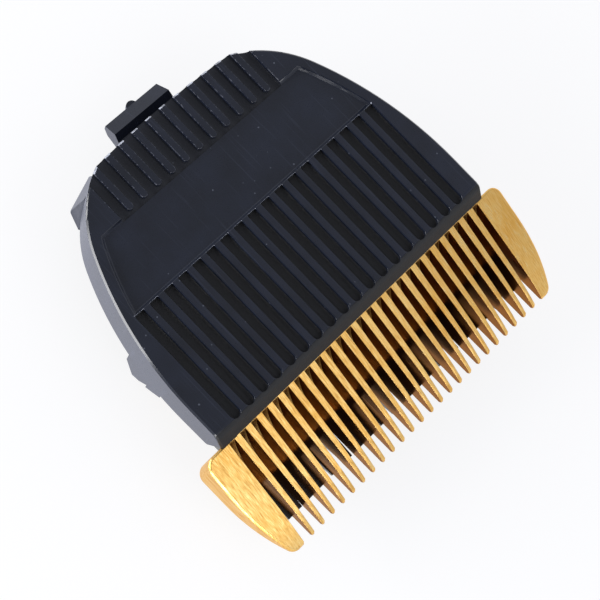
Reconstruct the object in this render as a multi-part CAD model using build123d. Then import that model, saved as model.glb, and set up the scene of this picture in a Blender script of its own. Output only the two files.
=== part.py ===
"""Clip-on blade block for a hair clipper, ribbed face up, teeth towards -Y.

While it is built, y = 0 is the front end of the finger grooves and z = 0 the plane that the block
rests on. Every piece is then shifted so that the origin is below the middle of the whole block.
"""
from build123d import *
from math import hypot, pi, sqrt
import os

# Overall levels above the resting plane, mm
RIB_TOP = 12.0
ROOF = 1.65
COMB_UNDERSIDE = 4.4

# Housing outline seen from above
FRONT_WIDTH = 41.9
STRAIGHT_END = 4.0
SHOULDER_Y = 22.7
SHOULDER_INSET = 4.1
CORNER_DEPTH = 6.8
CORNER_INSET = 7.0
REAR_BULGE = 0.35
WALL = 1.7
INNER_WALL = 1.5
RIM_BEVEL = 0.2

# Housing seen from the side
BEVEL_START = 0.1
FRONT_ROUND = 1.2
LIP_REACH = 1.25
WALL_FRONT_Y = 0.3
WALL_FOOT = 2.6
WALL_SLOPE = 0.085
WALL_CORNER = 0.5
SKIRT_STEP = 0.5
SKIRT_DROP = 2.0

# Finger grooves and the sunk panel between them
GROOVE_PITCH = 2.08
GROOVE_WIDTH = 1.25
GROOVE_DEPTH = 0.65
GROOVE_LENGTH = 14.9
GROOVE_MARGIN = 2.0
PANEL_LENGTH = 8.6
PANEL_DEPTH = 0.4
PANEL_RIM = 1.3
PANEL_DRAFT = 40.0

# Hook, latches, ears and foot that meet the clipper
HOOK_WIDTH = 8.9
HOOK_PROUD = 3.6
HOOK_DEPTH = 6.3
HOOK_THICKNESS = 1.7
HOOK_TIP_WIDTH = 7.9
HOOK_RIDGE_RISE = 0.7
HOOK_RIDGE_BACK = 1.6
HOOK_RAMP = 0.8
NUB_RADIUS = 0.7
NUB_PROUD = 0.5
NUB_HEIGHT = 0.7
LATCH_REAR_Y = 13.0
LATCH_INSET = 0.3
LATCH_FOOT = 0.4
LATCH_HEEL = 2.1
LATCH_TOE = 1.5
LATCH_CREST = 3.6
LATCH_CREST_RISE = 2.8
LATCH_NOSE_STEP = 1.0
LATCH_LENGTH = 5.6
EAR_PROUD = 1.25
EAR_REAR_PROUD = 0.75
EAR_TAIL = 2.0
EAR_START = 0.57
EAR_CREST = 0.75
EAR_UNDERSIDE = 2.1
EAR_HEIGHT = 4.6
EAR_DRAFT = 13.0
EAR_ROUND = 0.6
FOOT_WIDTH = 15.0
FOOT_THICKNESS = 1.6

# Fixed comb blade
COMB_WIDTH = 46.9
COMB_REAR_Y = -1.05
COMB_TIP_Y = -14.6
COMB_TIP_THICKNESS = 0.5
COMB_TIP_BEVEL = 0.15
COMB_BEND_BACK = 5.15
COMB_BEND_HEIGHT = 2.88
COMB_CORNER = 1.3
COMB_EDGE = 0.25
GUARD_WIDTH = 3.4
GUARD_TAPER_BACK = 8.95
GUARD_TAPER = 1.75
GUARD_TIP_ROUND = 1.1
TOOTH_PITCH = 1.63
TOOTH_BASE = 0.88
TOOTH_TIP = 0.46
TOOTH_TIP_BEVEL = 0.25
SLOT_WHEEL = 9.0
SLOT_OVERCUT = 0.5
COMB_BLOCK_REAR = 1.0
PLATE_THICKNESS = 2.0
PLATE_REAR = 9.0
PLATE_SIDE_GAP = 0.5
FIT = 0.05

# Screws that hold the comb
SCREW_EDGE = 4.4
SCREW_Y = 6.0
SCREW_SHANK = 2.2
SCREW_HEAD = 3.8
SCREW_HEAD_HEIGHT = 1.1
SCREW_LENGTH = 5.4
SCREW_RECESS = 0.6
SCREW_RECESS_WIDTH = 0.55
SCREW_RECESS_SPAN = 2.3
BOSS_WALL = 1.25

# Moving blade
CUTTER_MARGIN = 2.45
CUTTER_THICKNESS = 1.6
CUTTER_SETBACK = 2.95
CUTTER_REAR_Y = 3.4
CUTTER_PITCH = 2.0
CUTTER_TOOTH_LENGTH = 3.8
CUTTER_GAP_ROOT = 0.45
CUTTER_GAP_TIP = 0.8
CUTTER_BEVEL_RUN = 6.0
CUTTER_EDGE = 0.45
STROKE = 1.5
RUN_GAP = 0.05

# Carrier below the moving blade, with the fork for the drive pin
CARRIER_FRONT_Y = -4.6
CARRIER_REAR_Y = 4.0
CARRIER_ROUND = 1.2
CARRIER_RIM = 1.3
FORK_LENGTH = 7.6
FORK_SLOT = 5.2
FORK_PRONG = 2.6
STUD = 2.6
STUD_Y = 0.4
STUD_SHORT = 0.15
PAD_PLAY = 0.45
PAD_ROOF = 1.5
PAD_LENGTH = 5.6

# Springs that press the carrier up, and the lugs they hang on
WIRE = 0.7
WIRE_SIDES = 6
COIL_RADIUS = 1.45
COIL_TURNS = 1.25
COIL_PITCH = 0.85
COIL_X = 8.9
COIL_Y = 17.0
COIL_Z = 5.4
COIL_PLAY = 0.25
LEG_END_GAP = 1.2
LEG_LEVEL = 1.6
LEG_BEND = 3.0
LUG_WIDTH = 1.3
LUG_LENGTH = 4.4
LUG_FOOT = 3.4

# Values that follow from those above
ROOF_UNDERSIDE = RIB_TOP - ROOF
COMB_TOP = ROOF_UNDERSIDE - FIT
PLATE_TOP = COMB_UNDERSIDE + PLATE_THICKNESS
CUTTER_TOP = COMB_UNDERSIDE - RUN_GAP
CARRIER_TOP = CUTTER_TOP - CUTTER_THICKNESS
REAR_Y = SHOULDER_Y + CORNER_DEPTH
HOOK_REACH = REAR_Y + REAR_BULGE + HOOK_PROUD
PANEL_REAR = GROOVE_LENGTH + PANEL_LENGTH
TONGUE_HALF = FRONT_WIDTH / 2 - WALL - PLATE_SIDE_GAP
SCREW_X = TONGUE_HALF - SCREW_EDGE
CUTTER_WIDTH = COMB_WIDTH - 2 * (STROKE + CUTTER_MARGIN)
CUTTER_TIP_Y = COMB_TIP_Y + CUTTER_SETBACK
LEG_X = COIL_X - LEG_BEND * COIL_PITCH / hypot(COIL_PITCH, 2 * pi * COIL_RADIUS)
PAD_WIDTH = WIRE + 2 * (STROKE + PAD_PLAY)
CARRIER_WIDTH = 2 * (LEG_X + CARRIER_RIM) + PAD_WIDTH
PAD_FRONT_Y = CARRIER_REAR_Y - PAD_LENGTH
BEYOND = RIB_TOP / 2
LENGTH_MIDDLE = (HOOK_REACH + NUB_PROUD + COMB_TIP_Y) / 2
ON_FOOT = (Align.CENTER, Align.CENTER, Align.MIN)


def both_sides(shape):
    return [shape, mirror(shape, about=Plane.YZ)]


def mirrored_face(edges):
    """Face between right-hand edges that begin and end on the middle plane and their mirror image."""
    right = Wire(edges)
    return make_face(Curve() + right.edges() + mirror(right, about=Plane.YZ).edges())


def housing_edges():
    """Right-hand outline from the front to the middle of the rear, each arc running on from the last."""
    half = FRONT_WIDTH / 2
    shoulder = (half - SHOULDER_INSET, SHOULDER_Y)
    rear = (shoulder[0] - CORNER_INSET, REAR_Y)
    side = TangentArc((half, STRAIGHT_END), shoulder, tangent=(0, 1))
    corner = TangentArc(shoulder, rear, tangent=side % 1)
    back = TangentArc((0, REAR_Y + REAR_BULGE), rear, tangent=(1, 0))
    front = Polyline((0, -BEYOND), (half, -BEYOND), (half, STRAIGHT_END))
    return front.edges() + [side, corner, back], corner


def housing_plan(inset=0.0):
    edges, _ = housing_edges()
    face = mirrored_face(edges)
    return offset(face, amount=-inset, kind=Kind.INTERSECTION) if inset else face


def half_width(y):
    """Half width of the housing at y."""
    section = housing_plan() & (Pos(0, y) * Rectangle(2 * FRONT_WIDTH, FIT))
    return section.bounding_box().max.X


def wall_bottom(y, drop=0.0):
    return COMB_UNDERSIDE + WALL_FOOT - WALL_SLOPE * y - drop


def across(points, width, rounds=None):
    """Prism of a (y, z) outline, centred on the middle plane; rounds gives the radius at some points."""
    face = make_face(Polyline(*points, close=True))
    for index, radius in (rounds or {}).items():
        face = fillet(face.vertices().sort_by_distance((*points[index], 0))[0], radius)
    return extrude(Plane.YZ * face, amount=width / 2, both=True)


def shell_prism(drop, front_y):
    """Side view of the shell: round front edge, lip over the comb, wall that deepens to the rear."""
    far = REAR_Y + BEYOND
    outline = [
        (-BEVEL_START, RIB_TOP),
        (-LIP_REACH, ROOF_UNDERSIDE),
        (COMB_REAR_Y + FIT, ROOF_UNDERSIDE),
        (front_y, wall_bottom(front_y, drop)),
        (far, wall_bottom(far, drop)),
        (far, RIB_TOP),
    ]
    return across(outline, FRONT_WIDTH + BEYOND, {0: FRONT_ROUND, 3: WALL_CORNER})


def front_grooves():
    """Grooves with round front ends, each running back to the panel."""
    radius = GROOVE_WIDTH / 2
    sides = Polyline((-radius, radius), (-radius, GROOVE_LENGTH), (radius, GROOVE_LENGTH), (radius, radius))
    end = ThreePointArc((radius, radius), (0, 0), (-radius, radius))
    cutter = extrude(make_face(Curve() + sides.edges() + end), amount=-GROOVE_DEPTH)
    count = int((FRONT_WIDTH - 2 * GROOVE_MARGIN) / GROOVE_PITCH)
    first = -(count - 1) / 2 * GROOVE_PITCH
    return [Pos(first + i * GROOVE_PITCH, 0, RIB_TOP) * cutter for i in range(count)]


def rear_grooves():
    """One cutter for the rear grip: it leaves bars with round front ends that run off the rear edge."""
    count = int(2 * (half_width(PANEL_REAR) - PANEL_RIM - GROOVE_MARGIN) / GROOVE_PITCH)
    bar = GROOVE_PITCH - GROOVE_WIDTH
    width = count * GROOVE_PITCH - bar
    front = PANEL_REAR - bar / 2
    length = REAR_Y + BEYOND - front
    zone = Pos(0, front + length / 2) * Rectangle(width, length)
    bar_start = PANEL_REAR + bar / 2
    one = Pos(0, bar_start + length / 2) * Rectangle(bar, length) + Pos(0, bar_start) * Circle(bar / 2)
    first = -(count - 2) / 2 * GROOVE_PITCH
    bars = [Pos(first + i * GROOVE_PITCH, 0) * one for i in range(count - 1)]
    return extrude(Pos(0, 0, RIB_TOP) * (zone - bars), amount=-GROOVE_DEPTH)


def panel():
    band = Pos(0, GROOVE_LENGTH + PANEL_LENGTH / 2) * Rectangle(FRONT_WIDTH, PANEL_LENGTH)
    face = housing_plan(PANEL_RIM) & band
    return extrude(Pos(0, 0, RIB_TOP) * face, amount=-PANEL_DEPTH, taper=PANEL_DRAFT)


def hook():
    """Rear tongue with a cross ridge that catches in the clipper, and a small nub on its edge."""
    root_y = REAR_Y - WALL
    ridge_y = HOOK_REACH - HOOK_RIDGE_BACK
    top = RIB_TOP - HOOK_DEPTH
    underside = top - HOOK_THICKNESS
    edge_top = top - HOOK_RIDGE_RISE / 3
    edge_bottom = underside + HOOK_RIDGE_RISE
    outline = [
        (root_y, underside),
        (root_y, top),
        (ridge_y - HOOK_RAMP, top),
        (ridge_y, top + HOOK_RIDGE_RISE),
        (HOOK_REACH, edge_top),
        (HOOK_REACH, edge_bottom),
        (HOOK_REACH - HOOK_RIDGE_RISE, underside),
    ]
    half = HOOK_WIDTH / 2
    half_plan = Polyline(
        (0, root_y),
        (half, root_y),
        (half, REAR_Y),
        (HOOK_TIP_WIDTH / 2, HOOK_REACH),
        (0, HOOK_REACH),
    )
    tongue = across(outline, HOOK_WIDTH) & extrude(mirrored_face(half_plan.edges()), amount=RIB_TOP)
    nub_y = HOOK_REACH + NUB_PROUD - NUB_RADIUS
    nub = Pos(0, nub_y, (edge_top + edge_bottom) / 2) * Cylinder(NUB_RADIUS, NUB_HEIGHT)
    return tongue + nub


def latches():
    """Snap latch hanging from each side skirt, with a small nose in front of it."""
    rear = LATCH_REAR_Y
    front = rear - LATCH_LENGTH
    crest_y = rear - LATCH_CREST
    crest_z = LATCH_FOOT + LATCH_CREST_RISE
    toe_y = rear - LATCH_TOE
    root = wall_bottom(rear)
    outline = [
        (rear, root),
        (rear, LATCH_FOOT + LATCH_HEEL),
        (toe_y, LATCH_FOOT),
        ((toe_y + crest_y) / 2, LATCH_FOOT + LATCH_NOSE_STEP),
        (crest_y, crest_z),
        (crest_y, crest_z - LATCH_NOSE_STEP),
        (front, max(crest_z, wall_bottom(front, SKIRT_DROP))),
        (front, root),
    ]
    ring = extrude(housing_plan(LATCH_INSET) - housing_plan(WALL), amount=RIB_TOP)
    return across(outline, FRONT_WIDTH) & ring


def ears():
    """Flared ear round each rear corner, widest at its foot, with a blunt nose in front."""
    _, corner = housing_edges()

    def proud(share, distance, tail=0.0):
        point = corner @ share
        along = corner % share
        return (point.X + along.Y * distance + along.X * tail, point.Y - along.X * distance + along.Y * tail)

    crest = proud(EAR_CREST, EAR_PROUD)
    outline = Polyline(
        proud(1, -2 * WALL, EAR_TAIL),
        proud(EAR_START, -2 * WALL),
        proud(EAR_START, 0),
        crest,
        proud(1, EAR_REAR_PROUD, EAR_TAIL),
        close=True,
    )
    face = make_face(outline)
    face = fillet(face.vertices().sort_by_distance((*crest, 0))[0], EAR_ROUND)
    return both_sides(extrude(Pos(0, 0, EAR_UNDERSIDE) * face, amount=EAR_HEIGHT, taper=EAR_DRAFT))


def spring_lug():
    """Lug under the roof with the pin that a spring's coil hangs on."""
    face_x = LEG_X - WIRE / 2 - FIT
    length = COIL_X - face_x + COIL_PITCH * COIL_TURNS + WIRE
    lug = Pos(face_x - LUG_WIDTH / 2, COIL_Y, LUG_FOOT) * Box(
        LUG_WIDTH, LUG_LENGTH, ROOF_UNDERSIDE - LUG_FOOT + FIT, align=ON_FOOT
    )
    pin_radius = COIL_RADIUS - WIRE / 2 - COIL_PLAY
    pin = Pos(face_x - FIT, COIL_Y, COIL_Z) * Rot(0, 90, 0) * Cylinder(pin_radius, length, align=ON_FOOT)
    return lug + pin


def rear_foot():
    """Cross wall in front of the rear wall, down to the plane that the block rests on."""
    y = REAR_Y - WALL - FOOT_THICKNESS / 2 + FIT
    return Pos(0, y, 0) * Box(FOOT_WIDTH, FOOT_THICKNESS + 2 * FIT, ROOF_UNDERSIDE + FIT, align=ON_FOOT)


def comb_seat():
    """Cross wall behind the comb's block, and the bosses that its plate is screwed to."""
    wall_y = COMB_BLOCK_REAR + FIT + INNER_WALL / 2
    width = FRONT_WIDTH - 2 * WALL + FIT
    height = ROOF_UNDERSIDE - PLATE_TOP + FIT
    wall = Pos(0, wall_y, PLATE_TOP) * Box(width, INNER_WALL, height, align=ON_FOOT)
    boss = Pos(SCREW_X, SCREW_Y, PLATE_TOP) * Cylinder(SCREW_SHANK / 2 + BOSS_WALL, height, align=ON_FOOT)
    return [wall] + both_sides(boss)


def housing():
    """One moulding: ribbed shell, stepped rim, hook, latches, ears and the seats inside."""
    outer = extrude(housing_plan(), amount=RIB_TOP) & shell_prism(0, WALL_FRONT_Y)
    rim = outer.edges().group_by(Axis.Z)[-1].filter_by(lambda e: e.center().Y > FRONT_ROUND)
    outer = chamfer(rim, RIM_BEVEL)
    inner = extrude(housing_plan(SKIRT_STEP), amount=ROOF_UNDERSIDE)
    inner = inner & shell_prism(SKIRT_DROP, WALL_FRONT_Y + SKIRT_DROP / 2)
    cavity = extrude(housing_plan(WALL), amount=ROOF_UNDERSIDE)
    body = outer + inner + ears() + hook() - cavity
    body = body + latches() + comb_seat() + rear_foot() + both_sides(spring_lug())
    depth = SCREW_LENGTH - PLATE_THICKNESS + FIT
    hole = Pos(SCREW_X, SCREW_Y, PLATE_TOP) * Cylinder(SCREW_SHANK / 2 + FIT, 2 * depth)
    return body - front_grooves() - rear_grooves() - panel() - both_sides(hole)


def comb_side():
    """Comb from the side: a wedge that falls to the tips and steepens there, and the plate behind it."""
    rear = (COMB_BLOCK_REAR, COMB_TOP)
    lip = (COMB_REAR_Y, COMB_TOP)
    bend = (COMB_TIP_Y + COMB_BEND_BACK, COMB_UNDERSIDE + COMB_BEND_HEIGHT)
    tip = (COMB_TIP_Y, COMB_UNDERSIDE + COMB_TIP_THICKNESS)
    base = Polyline(
        tip,
        (COMB_TIP_Y, COMB_UNDERSIDE),
        (PLATE_REAR, COMB_UNDERSIDE),
        (PLATE_REAR, PLATE_TOP),
        (COMB_BLOCK_REAR, PLATE_TOP),
        rear,
        lip,
        bend,
    )
    nose = TangentArc(bend, tip, tangent=(bend[0] - lip[0], bend[1] - lip[1]))
    face = make_face(Curve() + base.edges() + nose)
    tip_edge = face.vertices().group_by(Axis.X)[0].sort_by(Axis.Y)[0]
    face = chamfer(tip_edge, COMB_TIP_BEVEL)
    return extrude(Plane.YZ * face, amount=COMB_WIDTH, both=True)


def comb_block():
    """Full-width wedge in front of the housing, its guards narrowing to round tips.

    One bevel runs on from the guard's edge all round the top.
    """
    half = COMB_WIDTH / 2
    tip = (half - GUARD_TAPER, COMB_TIP_Y)
    taper = (half, COMB_TIP_Y + GUARD_TAPER_BACK)
    shoulder = (half, COMB_REAR_Y)
    edges = [
        Line((0, COMB_TIP_Y), tip),
        TangentArc(taper, tip, tangent=(0, -1)),
        Line(taper, shoulder),
        Line(shoulder, (0, COMB_REAR_Y)),
    ]
    face = mirrored_face(edges)
    corners = face.vertices().filter_by(lambda v: abs(v.X) > half - FIT).group_by(Axis.Y)[-1]
    face = fillet(corners, COMB_CORNER)
    tips = face.vertices().filter_by(lambda v: abs(v.X) > FIT).group_by(Axis.Y)[0]
    face = fillet(tips, GUARD_TIP_ROUND)
    block = extrude(Pos(0, 0, COMB_UNDERSIDE) * face, amount=RIB_TOP) & comb_side()
    crest = block.edges().group_by(Axis.X)[-1].sort_by(Axis.Z)[-1]
    return chamfer(crest, COMB_EDGE)


def slot():
    """Cutter for one gap: wider towards the tips, its floor the arc of a grinding wheel."""
    base = (TOOTH_PITCH - TOOTH_BASE) / 2
    tip = (TOOTH_PITCH - TOOTH_TIP) / 2
    bevel_y = COMB_TIP_Y + TOOTH_TIP_BEVEL
    mouth_y = COMB_TIP_Y - FIT
    side = Polyline(
        (0, COMB_BLOCK_REAR),
        (base, COMB_BLOCK_REAR),
        (tip, bevel_y),
        (tip + TOOTH_TIP_BEVEL / 2, mouth_y),
        (0, mouth_y),
    )
    plan = mirrored_face(side.edges())
    floor_z = COMB_UNDERSIDE - SLOT_OVERCUT
    wheel_z = floor_z + SLOT_WHEEL
    wheel_y = -LIP_REACH - sqrt(SLOT_WHEEL**2 - (wheel_z - COMB_TOP) ** 2)
    wheel = Pos(0, wheel_y, wheel_z) * Rot(0, 90, 0) * Cylinder(SLOT_WHEEL, TOOTH_PITCH)
    front = Pos(0, wheel_y, floor_z) * Box(
        TOOTH_PITCH, -2 * COMB_TIP_Y, RIB_TOP, align=(Align.CENTER, Align.MAX, Align.MIN)
    )
    return extrude(plan, amount=RIB_TOP) & (wheel + front)


def fixed_blade():
    """Comb of ground teeth between two wide guards, on a plate that is screwed to the housing."""
    length = PLATE_REAR - COMB_REAR_Y + 2 * COMB_EDGE
    tongue = Pos(0, PLATE_REAR - length / 2, COMB_UNDERSIDE) * Box(
        2 * TONGUE_HALF, length, RIB_TOP, align=ON_FOOT
    )
    body = comb_block() + (tongue & comb_side())
    teeth = int((COMB_WIDTH - 2 * GUARD_WIDTH) / TOOTH_PITCH)
    cutter = slot()
    body = body - [Pos((i - teeth / 2) * TOOTH_PITCH, 0, 0) * cutter for i in range(teeth + 1)]
    shank = SCREW_SHANK / 2 + FIT
    sink = Pos(0, 0, SCREW_HEAD_HEIGHT / 2) * Cone(SCREW_HEAD / 2, SCREW_SHANK / 2, SCREW_HEAD_HEIGHT)
    screw_hole = Pos(SCREW_X, SCREW_Y, COMB_UNDERSIDE) * (sink + Cylinder(shank, 2 * PLATE_THICKNESS + FIT))
    return body - both_sides(screw_hole)


def blade_screws():
    """Two countersunk screws, put in from below through the comb's plate."""
    head = Pos(0, 0, SCREW_HEAD_HEIGHT / 2) * Cone(SCREW_HEAD / 2, SCREW_SHANK / 2, SCREW_HEAD_HEIGHT)
    shank = Cylinder(SCREW_SHANK / 2, SCREW_LENGTH, align=ON_FOOT)
    bar = Box(SCREW_RECESS_SPAN, SCREW_RECESS_WIDTH, 2 * SCREW_RECESS)
    screw = head + shank - bar - Rot(0, 0, 90) * bar
    return Compound(children=both_sides(Pos(SCREW_X, SCREW_Y, COMB_UNDERSIDE) * screw))


def moving_blade():
    """Flat blade with wedge teeth, bevelled below so that its edges lie on the comb."""
    outline = [
        (CUTTER_TIP_Y, CUTTER_TOP),
        (CUTTER_TIP_Y, CUTTER_TOP - CUTTER_EDGE),
        (CUTTER_TIP_Y + CUTTER_BEVEL_RUN, CARRIER_TOP),
        (CUTTER_REAR_Y, CARRIER_TOP),
        (CUTTER_REAR_Y, CUTTER_TOP),
    ]
    root_y = CUTTER_TIP_Y + CUTTER_TOOTH_LENGTH
    root = CUTTER_GAP_ROOT / 2
    tip = CUTTER_GAP_TIP / 2
    sides = Polyline((root, root_y), (tip, CUTTER_TIP_Y), (-tip, CUTTER_TIP_Y), (-root, root_y), close=True)
    gap = extrude(make_face(sides), amount=RIB_TOP)
    gaps = int(CUTTER_WIDTH / CUTTER_PITCH) - 1
    hole = Pos(LEG_X, STUD_Y, CUTTER_TOP) * Cylinder(STUD / 2 + FIT, 4 * CUTTER_THICKNESS)
    body = across(outline, CUTTER_WIDTH)
    body = body - [Pos((i - (gaps - 1) / 2) * CUTTER_PITCH, 0, 0) * gap for i in range(gaps)]
    return body - both_sides(hole)


def blade_carrier():
    """Moulded carrier: plate with studs in the blade, spring pads below and a fork behind."""
    depth = CARRIER_REAR_Y - CARRIER_FRONT_Y
    plan = Pos(0, CARRIER_REAR_Y - depth / 2) * RectangleRounded(CARRIER_WIDTH, depth, CARRIER_ROUND)
    length = FORK_LENGTH + depth / 2
    fork = Pos(0, CARRIER_REAR_Y + FORK_LENGTH - length / 2) * RectangleRounded(
        FORK_SLOT + 2 * FORK_PRONG, length, CARRIER_ROUND
    )
    pin_way = Pos(0, CARRIER_REAR_Y + FORK_LENGTH) * Rectangle(FORK_SLOT, 2 * FORK_LENGTH)
    pin_end = Pos(0, CARRIER_REAR_Y) * Circle(FORK_SLOT / 2)
    body = extrude(plan + fork - pin_way - pin_end, amount=CARRIER_TOP)
    pad = Pos(LEG_X, CARRIER_REAR_Y, 0) * Box(PAD_WIDTH, 2 * PAD_LENGTH, 2 * PAD_ROOF)
    stud_height = CUTTER_TOP - STUD_SHORT - PAD_ROOF - FIT
    stud = Pos(LEG_X, STUD_Y, PAD_ROOF + FIT) * Cylinder(STUD / 2, stud_height, align=ON_FOOT)
    return body - both_sides(pad) + both_sides(stud)


def spring():
    """Torsion spring: front leg under the carrier, coil on its pin, short leg up to the roof."""
    plane = Plane(origin=(COIL_X, COIL_Y, COIL_Z), x_dir=(0, 0, -1), z_dir=(1, 0, 0))
    coil = plane * Helix(pitch=COIL_PITCH, height=COIL_PITCH * COIL_TURNS, radius=COIL_RADIUS)
    start = coil @ 0
    end = coil @ 1
    upward = coil % 1
    pad_z = PAD_ROOF - FIT - WIRE / 2
    front = FilletPolyline(
        (LEG_X, PAD_FRONT_Y + LEG_END_GAP, pad_z),
        (LEG_X, CARRIER_REAR_Y + LEG_LEVEL, pad_z),
        start - (coil % 0) * LEG_BEND,
        start,
        radius=LEG_BEND,
    )
    rise = ROOF_UNDERSIDE - WIRE / 2 * upward.X - end.Z
    back = Line(end, end + upward * (rise / upward.Z))
    path = Wire(front.edges() + coil.edges() + [back])
    return sweep(Plane(path @ 0, z_dir=path % 0) * RegularPolygon(WIRE / 2, WIRE_SIDES), path=path)


def main():
    springs = both_sides(spring())
    nodes = {
        "housing": housing(),
        "fixed_blade": fixed_blade(),
        "blade_screws": blade_screws(),
        "moving_blade": moving_blade(),
        "blade_carrier": blade_carrier(),
        "spring_right": springs[0],
        "spring_left": springs[1],
    }
    os.makedirs("parts", exist_ok=True)
    for name, shape in nodes.items():
        placed = Pos(0, -LENGTH_MIDDLE, 0) * shape
        export_step(placed, os.path.join("parts", name + ".step"))


main()
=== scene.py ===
"""Looks for the hair clipper blade block, in metres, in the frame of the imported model."""
from math import cos, hypot, pi, radians, sin

import bmesh
import bpy
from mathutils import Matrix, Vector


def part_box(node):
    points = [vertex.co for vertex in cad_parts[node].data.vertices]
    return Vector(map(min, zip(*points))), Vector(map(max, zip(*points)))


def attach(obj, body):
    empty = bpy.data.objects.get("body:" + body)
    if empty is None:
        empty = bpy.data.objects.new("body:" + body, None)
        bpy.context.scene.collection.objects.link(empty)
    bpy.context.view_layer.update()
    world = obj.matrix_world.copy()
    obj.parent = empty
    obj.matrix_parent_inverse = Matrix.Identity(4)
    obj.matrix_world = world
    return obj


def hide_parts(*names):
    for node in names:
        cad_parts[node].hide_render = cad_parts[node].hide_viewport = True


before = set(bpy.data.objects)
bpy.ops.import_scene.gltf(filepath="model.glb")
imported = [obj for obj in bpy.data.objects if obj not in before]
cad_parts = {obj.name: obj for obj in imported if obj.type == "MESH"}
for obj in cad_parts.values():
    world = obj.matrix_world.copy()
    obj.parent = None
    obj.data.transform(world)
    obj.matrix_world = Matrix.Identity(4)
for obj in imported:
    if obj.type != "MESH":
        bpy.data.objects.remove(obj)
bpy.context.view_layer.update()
MM = 0.001

# Housing: one black ABS moulding with finger grooves, a sunk panel, a rear hook and side latches.
# It comes out of a spark-eroded mould, which rounds the edges of its top and hollows the groove floors.
RIB_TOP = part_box("housing")[1].z
PANEL_DEPTH = 0.4 * MM
PANEL_FLOOR = RIB_TOP - PANEL_DEPTH
GROOVE_DEPTH = 0.65 * MM
GROOVE_FLOOR = RIB_TOP - GROOVE_DEPTH
GROOVE_PITCH = 2.08 * MM
GROOVE_COUNT = 18
GROOVE_END = 5.225 * MM
HOLLOW_RADIUS = 0.8 * MM
HOLLOW_HALF = 0.6 * MM
HOLLOW_CUTS = (-0.42 * MM, -0.2 * MM, 0.2 * MM, 0.42 * MM)
REAR_RIM_START = 13.3 * MM
GRIP_HALF = 12.2 * MM
LIP_END = -9.5 * MM
MOULD_ROUND = 0.09 * MM
EDGE_DEPTH = 0.15 * MM
EDGE_FOOT = RIB_TOP - EDGE_DEPTH
OUTER_WALL_DEPTH = 2 * MM

# Points nearer than this are one, faces that differ by less are one, and edges that turn by more are sharp.
MERGE_REACH = 0.002 * MM
FLAT = radians(0.6)
SHARP = radians(34)

# Inputs by number: those of Map Range, and those of Mix, which has several of one name.
VALUE, FROM_LOW, FROM_HIGH, TO_LOW, TO_HIGH = range(5)
FACTOR, NUMBER_A, NUMBER_B, COLOUR_A, COLOUR_B = 0, 2, 3, 6, 7
COLOUR_OUT = 2


def linear(code):
    """sRGB hex colour as linear RGBA."""
    parts = [int(code[i:i + 2], 16) / 255 for i in (1, 3, 5)]
    return [c / 12.92 if c <= 0.04045 else ((c + 0.055) / 1.055) ** 2.4 for c in parts] + [1.0]


def add(tree, kind, inputs=None, **settings):
    """Add a node with its settings, constants and links, and give its outputs."""
    node = tree.nodes.new(kind)
    for key, value in settings.items():
        setattr(node, key, value)
    for key, value in (inputs or {}).items():
        if isinstance(value, bpy.types.NodeSocket):
            tree.links.new(value, node.inputs[key])
        else:
            node.inputs[key].default_value = linear(value) if isinstance(value, str) else value
    return node.outputs


def material(name, metallic=0.0, ior=1.5):
    """New material, its tree, the inputs of its Principled shader and its Object coordinates."""
    made = bpy.data.materials.new(name)
    made.use_nodes = True
    tree = made.node_tree
    shader = tree.nodes["Principled BSDF"]
    shader.inputs["Metallic"].default_value = metallic
    shader.inputs["IOR"].default_value = ior
    return made, tree, shader.inputs, add(tree, "ShaderNodeTexCoord")["Object"]


def softened(node, name, width, reshape=None, rounds=lambda edge: True):
    """Copy of a CAD node, merged to whole faces; its sharp edges that rounds accepts get a small round."""
    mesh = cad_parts[node].data.copy()
    bm = bmesh.new()
    bm.from_mesh(mesh)
    bmesh.ops.remove_doubles(bm, verts=bm.verts, dist=MERGE_REACH)
    bmesh.ops.dissolve_limit(bm, angle_limit=FLAT, verts=bm.verts, edges=bm.edges)
    if reshape:
        reshape(bm)
    weight = bm.edges.layers.float.new("bevel_weight_edge")
    for face in bm.faces:
        face.smooth = True
    for edge in bm.edges:
        if len(edge.link_faces) == 2 and edge.calc_face_angle() > SHARP:
            edge[weight] = float(rounds(edge))
            edge.smooth = bool(edge[weight])
    bm.to_mesh(mesh)
    bm.free()
    piece = bpy.data.objects.new(name, mesh)
    bpy.context.scene.collection.objects.link(piece)
    bevel = piece.modifiers.new("edges", "BEVEL")
    bevel.width = width
    bevel.segments = 2
    bevel.limit_method = "WEIGHT"
    bevel.use_clamp_overlap = False
    normals = piece.modifiers.new("normals", "WEIGHTED_NORMAL")
    normals.weight = 90
    normals.keep_sharp = True
    return settled(piece)


def settled(piece):
    """Turn what a piece's modifiers make into its own plain mesh."""
    evaluated = piece.evaluated_get(bpy.context.evaluated_depsgraph_get())
    shaped = bpy.data.meshes.new_from_object(evaluated)
    piece.modifiers.clear()
    piece.data = shaped
    return piece


def marked(piece, name, test):
    """Give a piece a face attribute: what the test says of each face, as a number."""
    mark = piece.data.attributes.new(name, "FLOAT", "FACE")
    for face, value in zip(piece.data.polygons, mark.data):
        value.value = float(test(face))


def fit(piece, node, body, finish):
    """Give a piece its material and put it in the place of its CAD node."""
    piece.data.materials.clear()
    piece.data.materials.append(finish)
    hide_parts(node)
    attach(piece, body)


# A slope is the upward part of a face's normal: 1 where the face is level and 0 where it is upright.
# A lean is the rearward part, below 0 where the face looks to the front.
LEVEL_SLOPE = 0.99
STEEP_SLOPE = 0.3
RIM_SLOPES = (0.6, 0.8)
LIP_SLOPE, LIP_LEAN = 0.5, -0.3
FLOOR_REACH = 0.01 * MM
FLOOR_SLACK = 0.05 * MM
TOP_SLACK = 0.005 * MM
CUT_REACH = 0.0005 * MM


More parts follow.
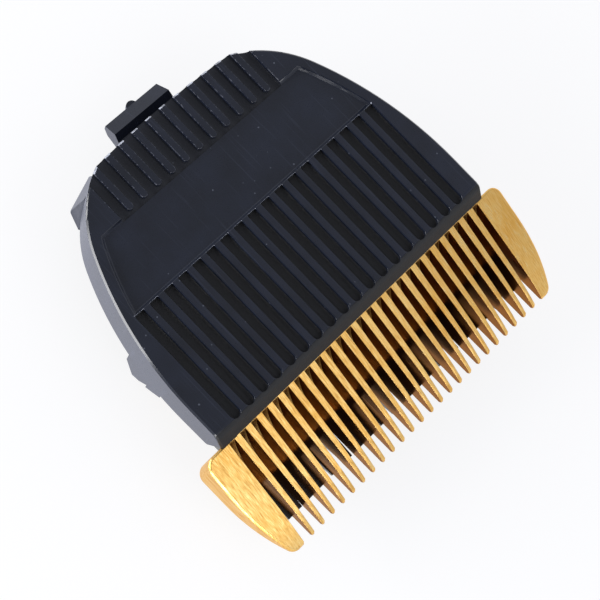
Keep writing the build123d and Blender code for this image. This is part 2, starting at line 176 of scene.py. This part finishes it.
def is_floor(face):
    height = face.calc_center_median().z - GROOVE_FLOOR
    return face.normal.z > LEVEL_SLOPE and abs(height) < FLOOR_REACH


def hollow_floors(bm):
    """Cut the groove floors along the grooves and lift them towards their sides."""
    middles = [(i - (GROOVE_COUNT - 1) / 2) * GROOVE_PITCH for i in range(GROOVE_COUNT)]
    for middle in middles:
        for cut in HOLLOW_CUTS:
            floors = [f for f in bm.faces if is_floor(f)]
            edges = {e for f in floors for e in f.edges}
            verts = {v for f in floors for v in f.verts}
            bmesh.ops.bisect_plane(
                bm, geom=floors + list(edges) + list(verts), dist=CUT_REACH,
                plane_co=(middle + cut, 0, 0), plane_no=(1, 0, 0),
            )
    for vert in {v for f in bm.faces if is_floor(f) for v in f.verts}:
        aside = min(HOLLOW_HALF, min(abs(vert.co.x - middle) for middle in middles))
        vert.co.z += aside**2 / (2 * HOLLOW_RADIUS)
    bm.normal_update()


def is_steep(face):
    return abs(face.normal.z) < STEEP_SLOPE


def is_rim_bevel(face):
    """True for a face of the bevel round the top: it leans by 45 degrees and borders a tall outer wall."""
    if not RIM_SLOPES[0] < face.normal.z < RIM_SLOPES[1] or face.calc_center_median().z < EDGE_FOOT:
        return False
    beside = {f for e in face.edges for f in e.link_faces}
    wall_foot = RIB_TOP - OUTER_WALL_DEPTH
    return any(is_steep(f) and min(v.co.z for v in f.verts) < wall_foot for f in beside)


def is_lip(face):
    """True for a CAD face of the lip that slopes down at the front."""
    slopes = face.normal.y < LIP_LEAN and face.normal.z > LIP_SLOPE
    return slopes and face.calc_center_median().y < LIP_END


def off_rim(edge):
    """True for an edge of the top, but not of its bevel, the front lip or the rim of the rear grooves."""
    if min(v.co.z for v in edge.verts) < GROOVE_FLOOR - FLOOR_SLACK:
        return False
    if any(is_rim_bevel(f) or is_lip(f) for f in edge.link_faces):
        return False
    return all(v.co.y < REAR_RIM_START or v.co.z >= RIB_TOP - TOP_SLACK for v in edge.verts)


housing = softened("housing", "housing_shell", MOULD_ROUND, hollow_floors, off_rim)

# What each face of the rounded top is: bounds for its slope, its lean and its place.
HOLLOW_SLOPE = 0.6
HOLLOW_MIDDLE = GROOVE_FLOOR + 0.1 * MM
HOLLOW_REACH = 0.13 * MM
ROUND_LIP_SLOPE, ROUND_LIP_LEAN = 0.15, -0.12
EDGE_SLOPES = (0.2, 0.97)
GLINT_SLOPES = (0.1, 0.97)
# Bounds of the edges that get a painted highlight: the groove ends and the backs of the rear bars.
GLINT_FRONT_LEAN = -0.1
GLINT_REAR_LEAN = 0.4
GLINT_DEPTH = 0.2 * MM
GLINT_LENGTH = 0.2 * MM
GRIP_SHADE_AND_DULLNESS = 0.5


def on_floor(face):
    return face.normal.z > HOLLOW_SLOPE and abs(face.center.z - HOLLOW_MIDDLE) < HOLLOW_REACH


def on_lip(face):
    slopes = face.normal.z > ROUND_LIP_SLOPE and face.normal.y < ROUND_LIP_LEAN
    return slopes and face.center.y < LIP_END


def on_edge(face):
    slopes = EDGE_SLOPES[0] < face.normal.z < EDGE_SLOPES[1]
    return slopes and face.center.z > EDGE_FOOT and not on_lip(face)


def in_grip(face):
    return face.center.y > REAR_RIM_START and abs(face.center.x) < GRIP_HALF


def is_painted_glint_edge(face):
    """True for an edge that gets a painted highlight: a groove's rear end, or the back of a bar of the rear
    grip.
    """
    if face.center.z < RIB_TOP - GLINT_DEPTH or not GLINT_SLOPES[0] < face.normal.z < GLINT_SLOPES[1]:
        return False
    at_end = face.normal.y < GLINT_FRONT_LEAN and abs(face.center.y - GROOVE_END) < GLINT_LENGTH
    return at_end or in_grip(face) and face.normal.y > GLINT_REAR_LEAN


# Painted shade and dullness: how far a face is darkened towards near black and made rougher and pitted; the
# groove floors of the rear grip get half.
def painted_shade_and_dullness(face):
    return (on_floor(face) or on_lip(face)) * (GRIP_SHADE_AND_DULLNESS if in_grip(face) else 1.0)


marked(housing, "painted_shade_and_dull", painted_shade_and_dullness)
marked(housing, "edge", on_edge)
marked(housing, "grip", lambda f: on_edge(f) and in_grip(f))
marked(housing, "painted_glint_edge", is_painted_glint_edge)
marked(housing, "wall", lambda f: is_steep(f) and f.center.z < PANEL_FLOOR)

# Black ABS with a satin grain: the eye gets a blue-black face with a soft reflection, a coarser and
# rougher grain on the groove floors and the front lip, which are also painted near black: painted shade
# in the hollows of the grooves, and the same darker paint on the lip. There are shiny edges, pale marks on
# the rear grip's edges that are partly scuffs and partly painted highlight, and painted highlights on the
# groove ends and the backs of the rear bars. The walls are polished and pick up the paper, and there are
# faint hairlines and specks of dust.
# The real grain of 0.02 mm and pits of 0.05 mm are drawn at 0.11 and 0.2 mm, so that they show.
GRAIN = 0.11 * MM
GRAIN_HEIGHT = 0.02 * MM
PITS = 0.2 * MM
PIT_DEPTH = 0.06 * MM
ABS_CLOUD = 3.8 * MM
HAIRLINE = (0.16 * MM, 7.0 * MM, 5.0 * MM)
HAIRLINE_TURN = radians(24)
DUST_SPACING = 1.1 * MM
# Size of the pale marks on the rear grip's edges, partly scuffs and partly painted highlight.
SCUFF_AND_GLINT = 0.35 * MM
abs_black, tree, shader, place = material("spark_eroded_black_abs", ior=1.54)
painted_shade_and_dull, edge, grip, painted_glint_edge, wall = [
    add(tree, "ShaderNodeAttribute", attribute_name=name)["Fac"]
    for name in ("painted_shade_and_dull", "edge", "grip", "painted_glint_edge", "wall")
]
grain = add(tree, "ShaderNodeTexNoise", {"Vector": place, "Scale": 1 / GRAIN, "Detail": 3.0})[0]
cloud = add(tree, "ShaderNodeTexNoise", {"Vector": place, "Scale": 1 / ABS_CLOUD, "Detail": 3.0})[0]
cloud = add(tree, "ShaderNodeMapRange", {VALUE: cloud, FROM_LOW: 0.3, FROM_HIGH: 0.7})[0]
tone = add(tree, "ShaderNodeMix", {
    FACTOR: cloud, COLOUR_A: "#131722", COLOUR_B: "#1b202e",
}, data_type="RGBA")[COLOUR_OUT]
along = add(tree, "ShaderNodeMapping", {
    "Vector": place, "Rotation": (0.0, 0.0, HAIRLINE_TURN), "Scale": [1 / size for size in HAIRLINE],
})[0]
hairline = add(tree, "ShaderNodeTexNoise", {"Vector": along, "Scale": 1.0, "Detail": 1.0})[0]
hairline = add(tree, "ShaderNodeMapRange", {
    VALUE: hairline, FROM_LOW: 0.66, FROM_HIGH: 0.74, TO_HIGH: 0.3,
})[0]
tone = add(tree, "ShaderNodeMix", {
    FACTOR: hairline, COLOUR_A: tone, COLOUR_B: "#3a3f4e",
}, data_type="RGBA")[COLOUR_OUT]
specks = add(tree, "ShaderNodeTexVoronoi", {"Vector": place, "Scale": 1 / DUST_SPACING})
chance = add(tree, "ShaderNodeSeparateXYZ", {"Vector": specks["Color"]})["X"]
reach = add(tree, "ShaderNodeMapRange", {VALUE: chance, FROM_LOW: 0.4, TO_HIGH: 0.1})[0]
dust = add(tree, "ShaderNodeMath", {0: specks["Distance"], 1: reach}, operation="LESS_THAN")[0]
dust = add(tree, "ShaderNodeMath", {0: dust, 1: 0.6}, operation="MULTIPLY")[0]
tone = add(tree, "ShaderNodeMix", {
    FACTOR: dust, COLOUR_A: tone, COLOUR_B: "#6d727e",
}, data_type="RGBA")[COLOUR_OUT]
# Pale marks on the rear grip's edges: partly scuffs and partly painted highlight where the bars' edges
# catch the light. The same noise breaks up the painted highlights on the groove ends and bar backs.
scuff_and_glint = add(tree, "ShaderNodeTexNoise", {"Vector": place, "Scale": 1 / SCUFF_AND_GLINT, "Detail": 4.0})[0]
painted_glint = add(tree, "ShaderNodeMapRange", {VALUE: scuff_and_glint, FROM_LOW: 0.4, FROM_HIGH: 0.6, TO_LOW: 0.35})[0]
scuff_and_glint = add(tree, "ShaderNodeMapRange", {VALUE: scuff_and_glint, FROM_LOW: 0.5, FROM_HIGH: 0.68, TO_HIGH: 0.6})[0]
scuff_and_glint = add(tree, "ShaderNodeMath", {0: scuff_and_glint, 1: grip}, operation="MULTIPLY")[0]
tone = add(tree, "ShaderNodeMix", {
    FACTOR: scuff_and_glint, COLOUR_A: tone, COLOUR_B: "#6a6d78",
}, data_type="RGBA")[COLOUR_OUT]
# Painted highlight: the groove ends and the backs of the rear bars painted pale, in broken patches.
painted_glint = add(tree, "ShaderNodeMath", {0: painted_glint, 1: painted_glint_edge}, operation="MULTIPLY")[0]
tone = add(tree, "ShaderNodeMix", {
    FACTOR: painted_glint, COLOUR_A: tone, COLOUR_B: "#c6cad6",
}, data_type="RGBA")[COLOUR_OUT]
# Painted shade: the groove floors and the front lip darkened to near black.
tone = add(tree, "ShaderNodeMix", {
    FACTOR: painted_shade_and_dull, COLOUR_A: tone, COLOUR_B: "#08080a",
}, data_type="RGBA")[COLOUR_OUT]
tree.links.new(tone, shader["Base Color"])
gloss = add(tree, "ShaderNodeMapRange", {
    VALUE: grain, FROM_LOW: 0.3, FROM_HIGH: 0.7, TO_LOW: 0.26, TO_HIGH: 0.4,
})[0]
gloss = add(tree, "ShaderNodeMix", {FACTOR: painted_shade_and_dull, NUMBER_A: gloss, NUMBER_B: 0.6})[0]
gloss = add(tree, "ShaderNodeMix", {FACTOR: edge, NUMBER_A: gloss, NUMBER_B: 0.14})[0]
tree.links.new(gloss, shader["Roughness"])
film = add(tree, "ShaderNodeMath", {0: wall, 1: 0.4}, operation="MULTIPLY")[0]
tree.links.new(film, shader["Coat Weight"])
shader["Coat Roughness"].default_value = 0.3
shader["Coat IOR"].default_value = 1.5
shader["Coat Tint"].default_value = linear("#ccd6ff")
smooth = add(tree, "ShaderNodeMath", {0: edge, 1: wall}, operation="MAXIMUM")[0]
depth = add(tree, "ShaderNodeMapRange", {VALUE: smooth, TO_LOW: 0.3, TO_HIGH: 0.0})[0]
skin = add(tree, "ShaderNodeBump", {"Height": grain, "Strength": depth, "Distance": GRAIN_HEIGHT})[0]
pits = add(tree, "ShaderNodeTexNoise", {"Vector": place, "Scale": 1 / PITS, "Detail": 2.0})[0]
depth = add(tree, "ShaderNodeMath", {0: painted_shade_and_dull, 1: 0.8}, operation="MULTIPLY")[0]
skin = add(tree, "ShaderNodeBump", {
    "Height": pits, "Strength": depth, "Distance": PIT_DEPTH, "Normal": skin,
})[0]
tree.links.new(skin, shader["Normal"])
fit(housing, "housing", "block", abs_black)

# Comb: a steel blade with ground teeth between two wide guards, held by the two screws.
# It is ground along the teeth and then coated with a thin gold nitride film.
# The tooth flanks are those within the reach of the moving blade, so the guards stay out.
COMB_ROUND = 0.04 * MM
STROKE = 1.5 * MM
FLANK_LEAN = 0.8
comb = softened("fixed_blade", "comb_blade", COMB_ROUND)
guard_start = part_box("moving_blade")[1].x + STROKE
marked(comb, "flank", lambda f: abs(f.normal.x) > FLANK_LEAN and abs(f.center.x) < guard_start)

# Ground steel under the film: the eye gets warm gold with fine light and dark lines along the teeth,
# and a redder brown on the flanks of the teeth, darkened there as painted shade between the teeth.
# The grinding lines of about 0.02 mm are drawn at 0.11 mm.
COMB_LINE = (0.11 * MM, 3.6 * MM, 0.4 * MM)
COMB_LINE_DEPTH = 0.01 * MM
FILM_CLOUD = 5.5 * MM
gold, tree, shader, place = material("gold_nitride_on_ground_steel", metallic=1.0)
flank = add(tree, "ShaderNodeAttribute", attribute_name="flank")["Fac"]
along = add(tree, "ShaderNodeMapping", {"Vector": place, "Scale": [1 / size for size in COMB_LINE]})[0]
lines = add(tree, "ShaderNodeTexNoise", {"Vector": along, "Scale": 1.0, "Detail": 4.0})[0]
cloud = add(tree, "ShaderNodeTexNoise", {"Vector": place, "Scale": 1 / FILM_CLOUD, "Detail": 3.0})[0]
cloud = add(tree, "ShaderNodeMapRange", {VALUE: cloud, FROM_LOW: 0.3, FROM_HIGH: 0.7})[0]
dark = add(tree, "ShaderNodeMapRange", {VALUE: lines, FROM_LOW: 0.52, FROM_HIGH: 0.75, TO_HIGH: 0.65})[0]
light = add(tree, "ShaderNodeMapRange", {VALUE: lines, FROM_LOW: 0.48, FROM_HIGH: 0.28, TO_HIGH: 0.6})[0]
tone = add(tree, "ShaderNodeMix", {
    FACTOR: cloud, COLOUR_A: "#e9b45c", COLOUR_B: "#f2c878",
}, data_type="RGBA")[COLOUR_OUT]
tone = add(tree, "ShaderNodeMix", {
    FACTOR: dark, COLOUR_A: tone, COLOUR_B: "#c88a3a",
}, data_type="RGBA")[COLOUR_OUT]
tone = add(tree, "ShaderNodeMix", {
    FACTOR: light, COLOUR_A: tone, COLOUR_B: "#ffe3a2",
}, data_type="RGBA")[COLOUR_OUT]
# Painted shade: the tooth flanks, between the teeth, darkened to a redder brown.
tone = add(tree, "ShaderNodeMix", {
    FACTOR: flank, COLOUR_A: tone, COLOUR_B: "#8e5520",
}, data_type="RGBA")[COLOUR_OUT]
tree.links.new(tone, shader["Base Color"])
gloss = add(tree, "ShaderNodeMapRange", {
    VALUE: lines, FROM_LOW: 0.25, FROM_HIGH: 0.75, TO_LOW: 0.24, TO_HIGH: 0.42,
})[0]
tree.links.new(gloss, shader["Roughness"])
skin = add(tree, "ShaderNodeBump", {"Height": lines, "Strength": 0.25, "Distance": COMB_LINE_DEPTH})[0]
tree.links.new(skin, shader["Normal"])
shader["Specular Tint"].default_value = linear("#fff0dc")
fit(comb, "fixed_blade", "block", gold)

# Screws: two countersunk steel screws with cross recesses, put in from below through the comb's plate.
# Cold-headed, turned and zinc plated: the eye gets a pale blue-grey with cloudy crystals of 0.3 mm.
SCREW_ROUND = 0.04 * MM
CRYSTAL = 0.33 * MM
zinc, tree, shader, place = material("zinc_plated_steel", metallic=1.0)
bloom = add(tree, "ShaderNodeTexNoise", {"Vector": place, "Scale": 1 / CRYSTAL, "Detail": 3.0})[0]
tone = add(tree, "ShaderNodeMix", {
    FACTOR: bloom, COLOUR_A: "#9a9ca0", COLOUR_B: "#b9bbbf",
}, data_type="RGBA")[COLOUR_OUT]
tree.links.new(tone, shader["Base Color"])
gloss = add(tree, "ShaderNodeMapRange", {
    VALUE: bloom, FROM_LOW: 0.3, FROM_HIGH: 0.7, TO_LOW: 0.25, TO_HIGH: 0.4,
})[0]
tree.links.new(gloss, shader["Roughness"])
screws = softened("blade_screws", "comb_screws", SCREW_ROUND)
fit(screws, "blade_screws", "block", zinc)

# Moving blade: a flat ceramic blade with wedge teeth, which slides along the comb's underside.
# Pressed, fired and ground black zirconia: the eye gets a smooth black with faint lines across the teeth.
# The grinding lines of about 0.02 mm are drawn at 0.14 mm.
CUTTER_ROUND = 0.04 * MM
CUTTER_LINE = (2.5 * MM, 0.14 * MM, 0.14 * MM)
CUTTER_LINE_DEPTH = 0.01 * MM
zirconia, tree, shader, place = material("ground_black_zirconia", ior=2.15)
along = add(tree, "ShaderNodeMapping", {"Vector": place, "Scale": [1 / size for size in CUTTER_LINE]})[0]
lines = add(tree, "ShaderNodeTexNoise", {"Vector": along, "Scale": 1.0, "Detail": 3.0})[0]
tone = add(tree, "ShaderNodeMix", {
    FACTOR: lines, COLOUR_A: "#0e0e10", COLOUR_B: "#161619",
}, data_type="RGBA")[COLOUR_OUT]
tree.links.new(tone, shader["Base Color"])
gloss = add(tree, "ShaderNodeMapRange", {
    VALUE: lines, FROM_LOW: 0.3, FROM_HIGH: 0.7, TO_LOW: 0.22, TO_HIGH: 0.36,
})[0]
tree.links.new(gloss, shader["Roughness"])
skin = add(tree, "ShaderNodeBump", {"Height": lines, "Strength": 0.15, "Distance": CUTTER_LINE_DEPTH})[0]
tree.links.new(skin, shader["Normal"])
cutter = softened("moving_blade", "ceramic_cutter", CUTTER_ROUND)
fit(cutter, "moving_blade", "cutter", zirconia)

# Carrier: an acetal moulding that holds the moving blade by two studs and takes the drive pin in its fork.
# Moulded black acetal: the eye gets a waxy, slightly uneven charcoal, with flow marks of about 0.4 mm.
# Only the edges of its upper half are rounded.
CARRIER_ROUND = 0.12 * MM
CARRIER_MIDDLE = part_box("blade_carrier")[1].z / 2
FLOW_MARK = 0.38 * MM
FLOW_DEPTH = 0.02 * MM
acetal, tree, shader, place = material("moulded_black_acetal", ior=1.48)
flow = add(tree, "ShaderNodeTexNoise", {"Vector": place, "Scale": 1 / FLOW_MARK, "Detail": 4.0})[0]
tone = add(tree, "ShaderNodeMix", {
    FACTOR: flow, COLOUR_A: "#18181b", COLOUR_B: "#232327",
}, data_type="RGBA")[COLOUR_OUT]
tree.links.new(tone, shader["Base Color"])
gloss = add(tree, "ShaderNodeMapRange", {
    VALUE: flow, FROM_LOW: 0.3, FROM_HIGH: 0.7, TO_LOW: 0.34, TO_HIGH: 0.48,
})[0]
tree.links.new(gloss, shader["Roughness"])
skin = add(tree, "ShaderNodeBump", {"Height": flow, "Strength": 0.12, "Distance": FLOW_DEPTH})[0]
tree.links.new(skin, shader["Normal"])


def on_carrier_top(edge):
    return min(v.co.z for v in edge.verts) > CARRIER_MIDDLE


carrier = softened("blade_carrier", "acetal_carrier", CARRIER_ROUND, rounds=on_carrier_top)
fit(carrier, "blade_carrier", "cutter", acetal)

# Springs: two torsion springs of round steel wire, coiled on pins under the roof, a mirrored pair.
# The long leg presses up under the carrier, and the short one bears on the roof.
WIRE_RADIUS = 0.35 * MM
WIRE_SIDES = 14
BEND_RADIUS = 3.0 * MM
BEND_STEPS = 8
COIL_RADIUS = 1.45 * MM
COIL_PITCH = 0.85 * MM
COIL_TURNS = 1.25
COIL_STEPS = 15
COIL_MIDDLE = (8.9 * MM, 7.325 * MM, 5.4 * MM)
LEG_FRONT_Y = -10.075 * MM
LEG_LIFT_Y = -4.075 * MM
LEG_Z = 1.1 * MM
ROOF_UNDERSIDE = 10.35 * MM


def coil_point(turn):
    """Point of the coil after some turns; the coil starts at its lowest point and runs to the rear."""
    angle = 2 * pi * turn
    x, y, z = COIL_MIDDLE
    return (x + COIL_PITCH * turn, y + COIL_RADIUS * sin(angle), z - COIL_RADIUS * cos(angle))


def spring_route():
    """Corners of the right spring's wire, from the tip of its long leg to the end of the short one."""
    turn_length = hypot(COIL_PITCH, 2 * pi * COIL_RADIUS)
    lean = COIL_PITCH / turn_length
    run = 2 * pi * COIL_RADIUS / turn_length
    coil = [coil_point(COIL_TURNS * i / COIL_STEPS) for i in range(COIL_STEPS + 1)]
    leg_x = coil[0][0] - BEND_RADIUS * lean
    bend = (leg_x, coil[0][1] - BEND_RADIUS * run, coil[0][2])
    rise = ROOF_UNDERSIDE - WIRE_RADIUS * lean - coil[-1][2]
    end = (coil[-1][0] + rise * lean / run, coil[-1][1], coil[-1][2] + rise)
    return [(leg_x, LEG_FRONT_Y, LEG_Z), (leg_x, LEG_LIFT_Y, LEG_Z), bend] + coil + [end]


# Drawn spring wire: the eye gets a bright grey, mottled by die marks of about 0.2 mm.
DIE_MARK = 0.2 * MM
wire_steel, tree, shader, place = material("drawn_spring_wire", metallic=1.0)
mottle = add(tree, "ShaderNodeTexNoise", {"Vector": place, "Scale": 1 / DIE_MARK, "Detail": 3.0})[0]
tone = add(tree, "ShaderNodeMix", {
    FACTOR: mottle, COLOUR_A: "#8d9094", COLOUR_B: "#aeb1b5",
}, data_type="RGBA")[COLOUR_OUT]
tree.links.new(tone, shader["Base Color"])
gloss = add(tree, "ShaderNodeMapRange", {
    VALUE: mottle, FROM_LOW: 0.3, FROM_HIGH: 0.7, TO_LOW: 0.2, TO_HIGH: 0.34,
})[0]
tree.links.new(gloss, shader["Roughness"])

bent_wire = bpy.data.node_groups.new("bent_wire", "GeometryNodeTree")
sockets = bent_wire.interface
sockets.new_socket("Route", in_out="INPUT", socket_type="NodeSocketGeometry")
wire_input = sockets.new_socket("Wire radius", in_out="INPUT", socket_type="NodeSocketFloat")
bend_input = sockets.new_socket("Bend radius", in_out="INPUT", socket_type="NodeSocketFloat")
sockets.new_socket("Wire", in_out="OUTPUT", socket_type="NodeSocketGeometry")
given = add(bent_wire, "NodeGroupInput")
path = add(bent_wire, "GeometryNodeMeshToCurve", {"Mesh": given["Route"]})[0]
path = add(bent_wire, "GeometryNodeFilletCurve", {
    "Curve": path, "Radius": given["Bend radius"], "Limit Radius": True, "Count": BEND_STEPS,
}, mode="POLY")[0]
section = add(bent_wire, "GeometryNodeCurvePrimitiveCircle", {
    "Radius": given["Wire radius"], "Resolution": WIRE_SIDES,
})[0]
wire = add(bent_wire, "GeometryNodeCurveToMesh", {
    "Curve": path, "Profile Curve": section, "Fill Caps": True,
})[0]
wire = add(bent_wire, "GeometryNodeRealizeInstances", {"Geometry": wire})[0]
wire = add(bent_wire, "GeometryNodeSetMaterial", {"Geometry": wire, "Material": wire_steel})[0]
add(bent_wire, "NodeGroupOutput", {"Wire": wire})
for node, side in (("spring_right", 1), ("spring_left", -1)):
    corners = [(side * x, y, z) for x, y, z in spring_route()]
    route = bpy.data.meshes.new(node + "_route")
    route.from_pydata(corners, [(i, i + 1) for i in range(len(corners) - 1)], [])
    spring = bpy.data.objects.new(node + "_wire", route)
    bpy.context.scene.collection.objects.link(spring)
    bend = spring.modifiers.new("wire", "NODES")
    bend.node_group = bent_wire
    bend[wire_input.identifier] = WIRE_RADIUS
    bend[bend_input.identifier] = BEND_RADIUS
    settled(spring)
    for face in spring.data.polygons:
        is_cap = len(face.vertices) == WIRE_SIDES
        face.use_smooth = not is_cap
    fit(spring, node, "block", wire_steel)

# Studio: white paper that stays white to the eye and in reflections and still takes the block's shadow,
# a white tent that is brighter near the horizon than overhead, with a black flag at its left, which
# shades the hollows of the grooves, and soft boxes that give the rims and the gold their shine.
bpy.ops.mesh.primitive_plane_add(size=3.0, location=(0, 0, 0))
floor = bpy.context.object
paper, tree, shader = material("white_paper")[:3]
shader["Base Color"].default_value = linear("#f4f4f5")
shader["Roughness"].default_value = 0.9
plain = tree.nodes["Principled BSDF"].outputs[0]
shade = add(tree, "ShaderNodeBsdfDiffuse", {"Color": "#8a8a8c"})[0]
glow = add(tree, "ShaderNodeEmission", {"Color": "#ffffff", "Strength": 0.8})[0]
lit = add(tree, "ShaderNodeAddShader", {0: shade, 1: glow})[0]
ray = add(tree, "ShaderNodeLightPath")
seen = add(tree, "ShaderNodeMath", {
    0: ray["Is Camera Ray"], 1: ray["Is Glossy Ray"],
}, operation="MAXIMUM")[0]
seen = add(tree, "ShaderNodeMath", {0: seen, 1: ray["Is Transmission Ray"]}, operation="MAXIMUM")[0]
white = add(tree, "ShaderNodeMixShader", {FACTOR: seen, 1: plain, 2: lit})[0]
tree.links.new(white, tree.nodes["Material Output"].inputs["Surface"])
floor.data.materials.append(paper)

world = bpy.data.worlds.new("white_tent")
bpy.context.scene.world = world
world.use_nodes = True
tree = world.node_tree
way = add(tree, "ShaderNodeTexCoord")["Generated"]
way = add(tree, "ShaderNodeSeparateXYZ", {"Vector": way})
level = add(tree, "ShaderNodeMapRange", {
    VALUE: way["Z"], FROM_LOW: 0.3, FROM_HIGH: 0.95, TO_LOW: 0.9, TO_HIGH: 0.4,
})[0]
left = add(tree, "ShaderNodeMapRange", {VALUE: way["X"], FROM_LOW: -0.05, FROM_HIGH: -0.6})[0]
high = add(tree, "ShaderNodeMapRange", {
    VALUE: way["Z"], FROM_LOW: 0.25, FROM_HIGH: 0.5, TO_HIGH: 0.85,
})[0]
flag = add(tree, "ShaderNodeMath", {0: left, 1: high}, operation="MULTIPLY")[0]
past = add(tree, "ShaderNodeMath", {0: 1.0, 1: flag}, operation="SUBTRACT")[0]
level = add(tree, "ShaderNodeMath", {0: level, 1: past}, operation="MULTIPLY")[0]
tent = add(tree, "ShaderNodeBackground", {"Color": "#eef2ff", "Strength": level})[0]
white = add(tree, "ShaderNodeBackground", {"Color": "#ffffff", "Strength": 1.0})[0]
ray = add(tree, "ShaderNodeLightPath")
sky = add(tree, "ShaderNodeMixShader", {FACTOR: ray["Is Camera Ray"], 1: tent, 2: white})[0]
tree.links.new(sky, tree.nodes["World Output"].inputs["Surface"])


def soft_box(name, place, width, height, radiance):
    """Area lamp of a given radiance that faces the middle of the block."""
    lamp = bpy.data.lights.new(name, "AREA")
    lamp.shape = "RECTANGLE"
    lamp.size = width
    lamp.size_y = height
    lamp.energy = pi * width * height * radiance
    box = bpy.data.objects.new(name, lamp)
    box.location = place
    box.rotation_euler = (-box.location).to_track_quat("-Z", "Y").to_euler()
    bpy.context.scene.collection.objects.link(box)


soft_box("rear_left_strip", place=(-0.425, 0.389, 0.165), width=0.625, height=0.16, radiance=10.0)
soft_box("front_box", place=(0.05, -0.47, 0.5), width=0.36, height=0.4, radiance=1.2)
soft_box("left_card", place=(-0.54, -0.26, 0.09), width=0.4, height=0.16, radiance=7.0)

# Camera: the photograph's view from above and left, fitted to its grooves, teeth and hook.
lens = bpy.data.cameras.new("photo_view")
lens.sensor_width = 36.0
lens.lens = 88.38
lens.clip_start = 0.01
camera = bpy.data.objects.new("photo_view", lens)
camera.location = (-0.05725, -0.00934, 0.15891)
camera.rotation_euler = (radians(15.136), radians(-13.191), radians(-45.448))
bpy.context.scene.collection.objects.link(camera)
bpy.context.scene.camera = camera
bpy.context.scene.view_settings.view_transform = "Standard"
